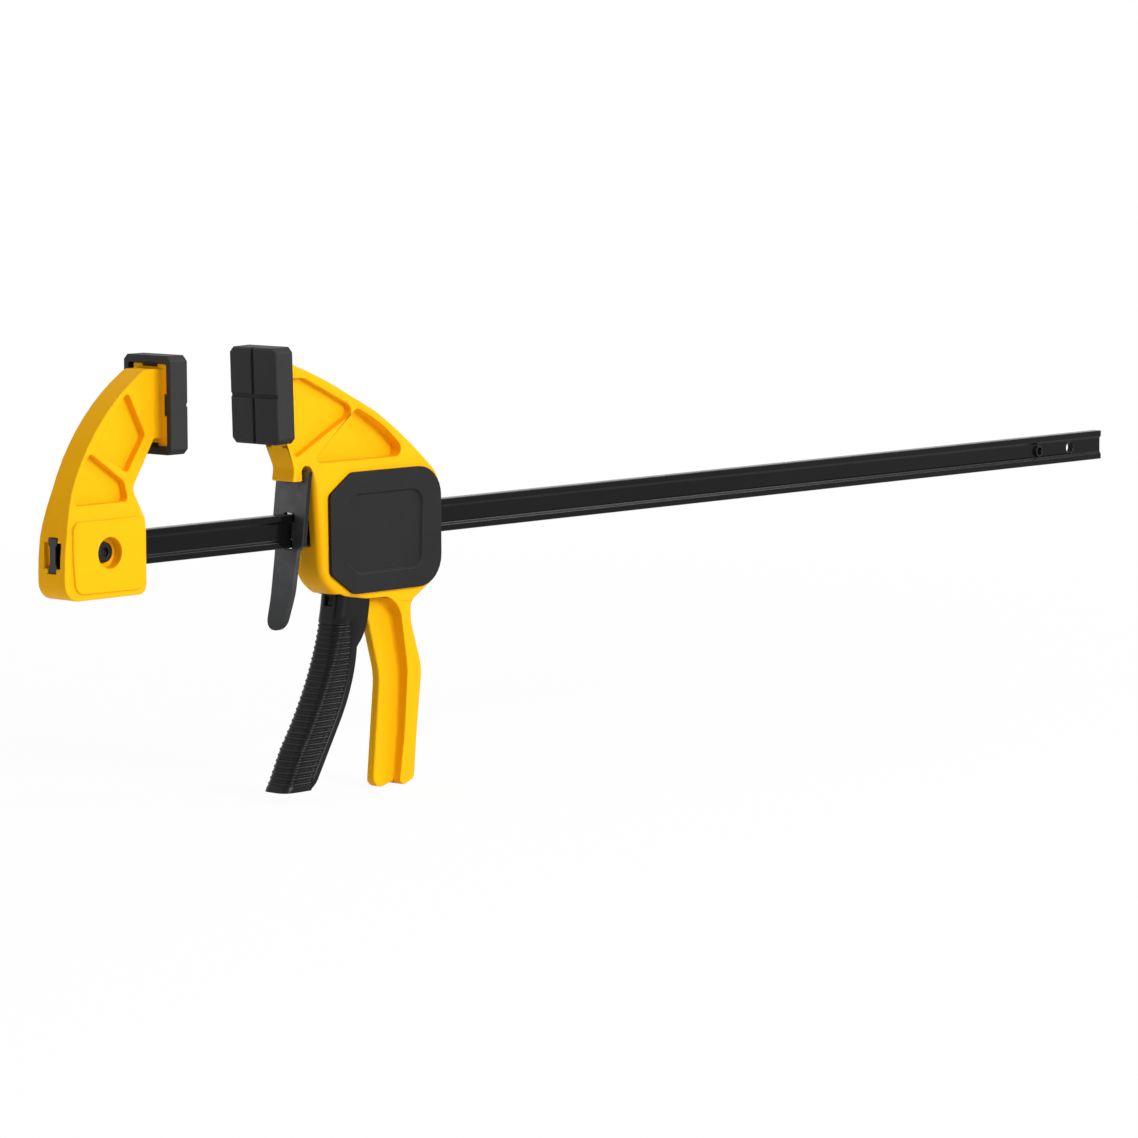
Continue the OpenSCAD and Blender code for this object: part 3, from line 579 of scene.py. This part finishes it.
gripLook = {
    "headAt": 60.4,         # where the head's own x starts
    "top": -35.0,           # heights from the bar's centreline
    "bottom": -134.0,
    "halfWidth": 9.2,
    "cornerRadius": 5.7,
    "cornerSteps": 8,
    "crown": 0.12,          # how far the sides lean in at their ends
    "wall": 3.0,
    "wallSteps": 4,         # of the hollow's corners
    # edges: x at the start, slope, bend, the depth down to which it bends, and the slope below it
    "front": (52.7, 0.12, 0.0036, 78, 0.5),
    "rear": (63.6, 0.1, 0.0062, 38, 0.58),
    "kink": -62.5,          # where the rear edge steps in
    "shoulder": 10.4,       # by how much
    "shoulderReach": 9.5,   # and how softly
    "heelRadius": 5.0,
    "ribTop": -49.0,
    "ribPitch": 2.8,
    "ribCount": 29,
    "ribs": [(0, 0.95), (0.5, 0.4)],    # in each pitch, as (place, radius)
    "ribSides": 12,
    "ribSteps": 7,          # round each corner of the grip
    "ribSunk": 0.45,        # share of its radius by which a rib lies in the face
    "ribTuck": 1.2,         # how far a rib's end runs on under the smooth strip
    "ribDepth": 0.6,        # of the sunk face below the strip
    "ribStep": 0.1,         # length of the step down to it
    "ribLead": 1.3,         # from ribTop down to where the face is sunk
    "ribEase": 0.4,         # height of the slope down to it
    "stripWidth": 4.4,      # smooth strip behind the ribs
    "plainLevels": (-38, -41, -43, -46),    # rings of the loft above the ribs
    "heelLevels": (2.0, 1.2, 0.6, 0),       # and below them, counted from the lower end
    "forkOverlap": 0.2,     # how far the fork runs on into the grip
    "notchAt": (52.4, 0, -38.6),        # the square hole through the front wall
    "notchSize": (9, 6.2, 5.2),
    "smoothAngle": 40,
}


def bentEdge(edge, down):
    start, slope, bend, bendEnd, slopeBelow = edge
    bent = min(down, bendEnd)
    return start - slope * bent - bend * bent ** 2 - slopeBelow * (down - bent)


def gripFront(z, look=gripLook):
    return bentEdge(look["front"], look["top"] - z)


def gripRear(z, look=gripLook):
    heel = max(0, look["bottom"] + look["heelRadius"] - z)
    tucked = look["heelRadius"] - math.sqrt(max(0, look["heelRadius"] ** 2 - heel ** 2))
    shoulder = look["shoulder"] * (1 - math.exp(-max(0, z - look["kink"]) / look["shoulderReach"]))
    return bentEdge(look["rear"], max(0, look["kink"] - z)) - tucked + shoulder


def ribEnd(z, look=gripLook):
    if z > look["kink"]:
        return min(gripRear(z), gripRear(look["kink"])) - look["stripWidth"]
    return gripRear(max(z, look["bottom"] + look["heelRadius"])) - look["stripWidth"]


def gripSide(z, sunk, steps, look=gripLook):
    # from the rear edge of the right side to the middle of the front, as (x, y)
    w, r = look["halfWidth"], look["cornerRadius"]
    front, rear, end = gripFront(z), gripRear(z), ribEnd(z)
    middle, half = (front + r + rear) / 2, (rear - front - r) / 2
    lean = look["crown"] / half ** 2
    sunkEnd = end - look["ribStep"]
    points = [(rear, -w), ((rear + end) / 2, -w), (end, -w), (sunkEnd, -w + sunk)]
    points += [(sunkEnd + (front + r - sunkEnd) * t, -w + sunk) for t in (0.33, 0.67)]
    points = [(x, y + lean * (x - middle) ** 2) for x, y in points]
    shift = lean * (front + r - middle) ** 2
    for i in range(steps + 1):
        a = math.pi / 2 * i / steps
        points.append((front + r - (r - sunk) * math.sin(a), -w + shift + r - (r - sunk) * math.cos(a)))
    return points


def gripLevels(look=gripLook):
    # heights of the loft's rings, and how deep the sides are sunk there: two rings for each rib
    sunkTop = look["ribTop"] - look["ribLead"]
    levels = [(z, 0) for z in (look["top"], *look["plainLevels"], sunkTop + look["ribEase"])]
    for k in range(2 * look["ribCount"]):
        levels.append((sunkTop - look["ribPitch"] / 2 * k, look["ribDepth"]))
    return levels + [(look["bottom"] + up, 0) for up in look["heelLevels"]]


def hollowSide(z, look=gripLook):
    # the hollow behind the front wall, from its rear edge to the middle of its front
    w, r = look["halfWidth"] - look["wall"], look["cornerRadius"] - look["wall"]
    front, steps = gripFront(z) + look["wall"], look["wallSteps"]
    angles = [math.pi / 2 * i / steps for i in range(steps + 1)]
    return [(gripRear(z), w)] + [(front + r - r * math.sin(a), w - r + r * math.cos(a)) for a in angles]


def makeGrip(look=gripLook):
    work = bmesh.new()

    def ring(half, z):
        points = half + [(x, -y) for x, y in reversed(half)]
        return [work.verts.new(((x + look["headAt"]) * mm, y * mm, z * mm)) for x, y in points]

    outer, inner = [], []
    for z, sunk in gripLevels():
        outer.append(ring(gripSide(z, sunk, look["cornerSteps"]), z))
        if z > look["bottom"] + look["wall"]:
            inner.append(ring(hollowSide(z), z))
    last = len(inner) - 1
    for i in range(len(outer) - 1):
        if i < last:
            upper, lower = outer[i] + inner[i], outer[i + 1] + inner[i + 1]
        else:
            upper, lower = outer[i], outer[i + 1]
        for j in range(len(upper)):
            k = (j + 1) % len(upper)
            work.faces.new((upper[j], lower[j], lower[k], upper[k]))
    work.faces.new(outer[0] + inner[0])
    work.faces.new([outer[last][-1]] + inner[last] + [outer[last][0]])
    work.faces.new(list(reversed(outer[-1])))
    bmesh.ops.recalc_face_normals(work, faces=work.faces)
    return work


def ribPaths(shift, radius, look=gripLook):
    # one open path per rib, with less than half of the rib above the sunk face
    verts, edges = [], []
    for i in range(1, look["ribCount"] + 1):
        z = look["ribTop"] - look["ribPitch"] * (i - shift)
        side = gripSide(z, look["ribDepth"] + look["ribSunk"] * radius, look["ribSteps"])[3:]
        side[0] = (ribEnd(z) + look["ribTuck"], side[0][1])
        points = side + [(x, -y) for x, y in reversed(side)]
        start = len(verts)
        verts += [((x + look["headAt"]) * mm, y * mm, z * mm) for x, y in points]
        edges += [(start + j, start + j + 1) for j in range(len(points) - 1)]
    mesh = bpy.data.meshes.new("ribPaths")
    mesh.from_pydata(verts, edges, [])
    return mesh


def newTree(name, sizes):
    tree = bpy.data.node_groups.new(name, "GeometryNodeTree")
    tree.interface.new_socket("Geometry", in_out="INPUT", socket_type="NodeSocketGeometry")
    for label, kind, value in sizes:
        socket = tree.interface.new_socket(label, in_out="INPUT", socket_type=kind)
        if value is not None:
            socket.default_value = value
    tree.interface.new_socket("Geometry", in_out="OUTPUT", socket_type="NodeSocketGeometry")
    return tree, tree.nodes.new("NodeGroupInput"), tree.nodes.new("NodeGroupOutput")


def finishTree(tree, source, start, end):
    smooth = tree.nodes.new("GeometryNodeSetShadeSmooth")
    real = tree.nodes.new("GeometryNodeRealizeInstances")
    paint = tree.nodes.new("GeometryNodeSetMaterial")
    tree.links.new(start, smooth.inputs["Geometry"])
    tree.links.new(smooth.outputs[0], real.inputs[0])
    tree.links.new(real.outputs[0], paint.inputs["Geometry"])
    tree.links.new(source.outputs["Finish"], paint.inputs["Material"])
    tree.links.new(paint.outputs[0], end.inputs[0])


def bakeTree(name, tree, mesh, values):
    holder = bpy.data.objects.new(name + "Holder", mesh)
    scene.collection.objects.link(holder)
    modifier = holder.modifiers.new("shape", "NODES")
    modifier.node_group = tree
    inputs = [item for item in tree.interface.items_tree if item.in_out == "INPUT"]
    identifiers = {item.name: item.identifier for item in inputs}
    for label, value in values.items():
        modifier[identifiers[label]] = value
    graph = bpy.context.evaluated_depsgraph_get()
    graph.update()
    baked = bpy.data.meshes.new_from_object(holder.evaluated_get(graph))
    holder.modifiers.remove(modifier)
    bpy.data.objects.remove(holder)
    baked.name = name
    return baked


def ribTree():
    tree, source, end = newTree("ribsAlongPaths", [("Rib Radius", "NodeSocketFloat", 0.001),
                                                   ("Sides", "NodeSocketInt", 12),
                                                   ("Finish", "NodeSocketMaterial", None)])
    path = tree.nodes.new("GeometryNodeMeshToCurve")
    ring = tree.nodes.new("GeometryNodeCurvePrimitiveCircle")
    sweep = tree.nodes.new("GeometryNodeCurveToMesh")
    sweep.inputs["Fill Caps"].default_value = True
    tree.links.new(source.outputs["Geometry"], path.inputs["Mesh"])
    tree.links.new(source.outputs["Rib Radius"], ring.inputs["Radius"])
    tree.links.new(source.outputs["Sides"], ring.inputs["Resolution"])
    tree.links.new(path.outputs[0], sweep.inputs["Curve"])
    tree.links.new(ring.outputs[0], sweep.inputs["Profile Curve"])
    finishTree(tree, source, sweep.outputs[0], end)
    return tree


def smoothMesh(mesh, angle):
    mesh.polygons.foreach_set("use_smooth", [True] * len(mesh.polygons))
    mesh.set_sharp_from_angle(angle=math.radians(angle))


def notchCutter(look=gripLook):
    cutter = bmesh.new()
    bmesh.ops.create_cube(cutter, size=1)
    middle = Vector((look["headAt"], 0, 0)) + Vector(look["notchAt"])
    for v in cutter.verts:
        v.co = (middle + v.co * Vector(look["notchSize"])) * mm
    return toPiece(cutter, "notchCutter", "triggerPlastic")


def forkMesh(look=gripLook):
    # the frame's trigger above the grip, closed where it is cut off
    fork = mergedCopy("trigger")
    bmesh.ops.bisect_plane(fork, geom=fork.verts[:] + fork.edges[:] + fork.faces[:], dist=0.0001 * mm,
                           plane_co=(0, 0, (look["top"] - look["forkOverlap"]) * mm),
                           plane_no=(0, 0, -1), clear_outer=True)
    bmesh.ops.holes_fill(fork, edges=[e for e in fork.edges if e.is_boundary], sides=0)
    mesh = bpy.data.meshes.new("fork")
    fork.to_mesh(mesh)
    fork.free()
    return mesh


def makeTrigger(look=gripLook):
    finish = materials["triggerPlastic"]
    grip = toPiece(makeGrip(), "squeezeTrigger", "triggerPlastic")
    cutAway(grip, notchCutter())
    whole = bmesh.new()
    for mesh in (grip.data, forkMesh()):
        whole.from_mesh(mesh)
    tree = ribTree()
    for shift, radius in look["ribs"]:
        whole.from_mesh(bakeTree("gripRibs", tree, ribPaths(shift, radius),
                                 {"Rib Radius": radius * mm, "Sides": look["ribSides"], "Finish": finish}))
    whole.to_mesh(grip.data)
    whole.free()
    grip.data.materials.clear()
    grip.data.materials.append(finish)
    grip.data.polygons.foreach_set("material_index", [0] * len(grip.data.polygons))
    smoothMesh(grip.data, look["smoothAngle"])
    settle(grip, "trigger", "trigger")


makeTrigger()
print("trigger ready")

# the two springs inside the head

springLook = {
    "driveSpring": {"node": "drive_spring", "coilRadius": 4.2, "turns": 6,
                    "joint": "trigger_pivot", "keep": 0.64},
    "releaseSpring": {"node": "release_spring", "coilRadius": 3.4, "turns": 5,
                      "joint": "release_pivot", "keep": 0.92},
    "wireRadius": 0.55,
    "turnSteps": 28,
    "wireSides": 10,
}


def springTree(look=springLook):
    tree, source, end = newTree("roundWireSpring", [("Coil Radius", "NodeSocketFloat", 0.004),
                                                    ("Wire Radius", "NodeSocketFloat", 0.0005),
                                                    ("Length", "NodeSocketFloat", 0.02),
                                                    ("Turns", "NodeSocketFloat", 6.0),
                                                    ("Start", "NodeSocketVector", (0, 0, 0)),
                                                    ("Finish", "NodeSocketMaterial", None)])
    spiral = tree.nodes.new("GeometryNodeCurveSpiral")
    spiral.inputs["Resolution"].default_value = look["turnSteps"]
    turn = tree.nodes.new("GeometryNodeTransform")
    turn.inputs["Rotation"].default_value = (0, math.pi / 2, 0)
    ring = tree.nodes.new("GeometryNodeCurvePrimitiveCircle")
    ring.inputs["Resolution"].default_value = look["wireSides"]
    sweep = tree.nodes.new("GeometryNodeCurveToMesh")
    sweep.inputs["Fill Caps"].default_value = True
    for label, socket in (("Coil Radius", "Start Radius"), ("Coil Radius", "End Radius"),
                          ("Length", "Height"), ("Turns", "Rotations")):
        tree.links.new(source.outputs[label], spiral.inputs[socket])
    tree.links.new(spiral.outputs[0], turn.inputs["Geometry"])
    tree.links.new(source.outputs["Start"], turn.inputs["Translation"])
    tree.links.new(turn.outputs[0], sweep.inputs["Curve"])
    tree.links.new(source.outputs["Wire Radius"], ring.inputs["Radius"])
    tree.links.new(ring.outputs[0], sweep.inputs["Profile Curve"])
    finishTree(tree, source, sweep.outputs[0], end)
    return tree


def makeSpring(name, look, wire, tree):
    low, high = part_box(look["node"])
    middle = (low[2] + high[2]) / 2
    length = high[0] - low[0] - 2 * wire * mm
    mesh = bakeTree(name, tree, bpy.data.meshes.new(name + "Path"),
                    {"Coil Radius": look["coilRadius"] * mm, "Wire Radius": wire * mm, "Length": length,
                     "Turns": float(look["turns"]), "Start": (low[0] + wire * mm, 0, middle),
                     "Finish": materials["springSteel"]})
    spring = bpy.data.objects.new(name, mesh)
    scene.collection.objects.link(spring)
    settle(spring, look["node"], "head")
    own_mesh(spring)


coilTree = springTree()
for springName in ("driveSpring", "releaseSpring"):
    makeSpring(springName, springLook[springName], springLook["wireRadius"], coilTree)
print("springs ready")

# pieces that keep the frame's own mesh

plainNodes = {
    "fixed_jaw_nut": "zincSteel", "trigger_pin": "zincSteel",
    "drive_plate_1": "plateSteel", "drive_plate_2": "plateSteel", "drive_plate_3": "plateSteel",
}
for nodeName, finish in plainNodes.items():
    mesh = nodes[nodeName].data
    mesh.materials.clear()
    mesh.materials.append(materials[finish])
print("inner steel ready")
